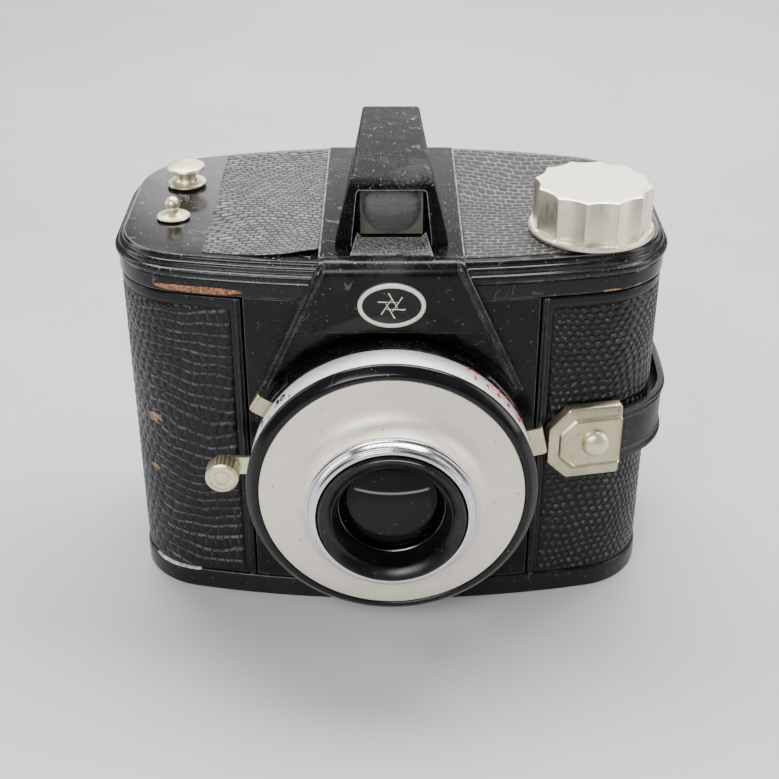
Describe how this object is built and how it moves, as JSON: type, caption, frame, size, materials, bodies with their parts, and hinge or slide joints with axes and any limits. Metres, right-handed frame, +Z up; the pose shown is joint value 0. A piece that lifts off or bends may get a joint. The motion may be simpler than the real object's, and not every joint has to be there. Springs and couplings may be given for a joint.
{
  "type": "roll film box camera",
  "caption": "Box camera with round lens barrel, finder tunnel, side winding knob, hand strap and a wrap-around shell that slides off its base.",
  "frame": {"origin": "centre of the underside of the base, on the table plane", "axes": "+Z up, -Y out of the lens towards the subject, +X towards the side with the winding knob and hand strap"},
  "size_m": [0.1326, 0.1064, 0.1089],
  "materials": {
    "black_plastic": "glossy moulded black, worn on its edges",
    "leatherette": "black lizard-grain leatherette",
    "top_leather": "the same grain, dusty grey",
    "strap_black": "smooth black strap with ridged edges",
    "cream_metal": "satin, pale cream anodised",
    "satin_silver": "satin silver",
    "chrome": "bright, turned",
    "black_metal": "semi-matt black paint",
    "steel": "plain",
    "brass": "plain",
    "glass": "clear",
    "red_glass": "red, clear",
    "felt": "black velvet",
    "fibre": "red-brown insulating fibre"
  },
  "bodies": {
    "inner_unit": {"top_cover": "black_plastic", "top_leather_left": "top_leather", "top_leather_right": "top_leather", "finder_housing": "black_plastic", "finder_front_lens": "glass", "finder_rear_lens": "glass", "accessory_stud": "cream_metal", "contact_pin": "cream_metal", "contact_insulator": "fibre", "contact_spring": "brass", "light_seal": "felt", "front_apron": "black_plastic", "badge": "satin_silver", "inner_body": "black_plastic", "cover_screw_left": "steel", "cover_screw_right": "steel", "light_cone": "black_metal", "film_gate": "black_metal", "supply_spring": "steel", "take_up_spring": "steel", "supply_pivot": "steel", "click_spring": "steel", "lens_barrel": "black_plastic", "scale_ring": "satin_silver", "bezel_ring": "black_plastic", "face_plate": "satin_silver", "chrome_ring": "chrome", "lens_tube": "black_metal", "front_lens": "glass", "lens_retainer": "black_metal", "shutter_plate": "black_metal", "shutter_spring": "steel"},
    "shell": {"leather_cover": "leatherette", "body_shell": "black_metal", "base_plate": "black_plastic", "tripod_bush": "steel", "film_window": "red_glass", "window_frame": "cream_metal", "hand_strap": "strap_black", "strap_plate_front": "cream_metal", "strap_plate_back": "cream_metal", "strap_rivet_front": "cream_metal", "strap_rivet_back": "cream_metal"},
    "lock": {"base_lock_key": "cream_metal", "lock_tongue": "steel"},
    "window_cover": {"window_slider": "cream_metal"},
    "winder": {"wind_knob": "cream_metal", "wind_shaft": "steel", "ratchet_wheel": "steel"},
    "take_up": {"take_up_spool": "black_metal"},
    "roller_left": {"film_roller_left": "steel"},
    "roller_right": {"film_roller_right": "steel"},
    "release": {"release_lever": "cream_metal", "release_button": "cream_metal"},
    "blade": {"shutter_blade": "steel"},
    "speed": {"speed_lever": "cream_metal"},
    "focus": {"focus_lever": "cream_metal"},
    "stops": {"stop_plate": "black_metal", "close_up_lens": "glass"}
  },
  "joints": [
    {"name": "shell_slide", "type": "slide", "parent": "inner_unit", "child": "shell", "axis": [0, 0, -1], "range_m": [0, 0.095]},
    {"name": "lock_turn", "type": "hinge", "parent": "shell", "child": "lock", "pos_m": [0.03, 0, 0], "axis": [0, 0, 1], "range_deg": [0, 90]},
    {"name": "window_slide", "type": "slide", "parent": "shell", "child": "window_cover", "axis": [1, 0, 0], "range_m": [0, 0.011]},
    {"name": "knob_turn", "type": "hinge", "parent": "inner_unit", "child": "winder", "pos_m": [0.0464, -0.0182, 0.09], "axis": [0, 0, 1], "continuous": true},
    {"name": "take_up_turn", "type": "hinge", "parent": "inner_unit", "child": "take_up", "pos_m": [0.0464, -0.0182, 0.044], "axis": [0, 0, 1], "continuous": true},
    {"name": "roller_left_turn", "type": "hinge", "parent": "inner_unit", "child": "roller_left", "pos_m": [-0.0495, 0.02, 0.044], "axis": [0, 0, 1], "continuous": true},
    {"name": "roller_right_turn", "type": "hinge", "parent": "inner_unit", "child": "roller_right", "pos_m": [0.0495, 0.02, 0.044], "axis": [0, 0, 1], "continuous": true},
    {"name": "release_press", "type": "hinge", "parent": "inner_unit", "child": "release", "pos_m": [0, -0.0436, 0.043], "axis": [0, -1, 0], "range_deg": [0, 12]},
    {"name": "blade_swing", "type": "hinge", "parent": "inner_unit", "child": "blade", "pos_m": [0, -0.042, 0.058], "axis": [0, -1, 0], "range_deg": [0, 57]},
    {"name": "speed_shift", "type": "hinge", "parent": "inner_unit", "child": "speed", "pos_m": [0, -0.0436, 0.043], "axis": [0, -1, 0], "range_deg": [-8, 8]},
    {"name": "focus_shift", "type": "hinge", "parent": "inner_unit", "child": "focus", "pos_m": [0, -0.0436, 0.043], "axis": [0, -1, 0], "range_deg": [0, 28]},
    {"name": "stops_swing", "type": "hinge", "parent": "inner_unit", "child": "stops", "pos_m": [0, -0.046, 0.029], "axis": [0, -1, 0], "range_deg": [-85, 0]}
  ],
  "couplings": [
    {"joint": "take_up_turn", "follows": "knob_turn", "ratio": 1},
    {"joint": "blade_swing", "follows": "release_press", "ratio": 4.7},
    {"joint": "stops_swing", "follows": "focus_shift", "ratio": -3}
  ]
}
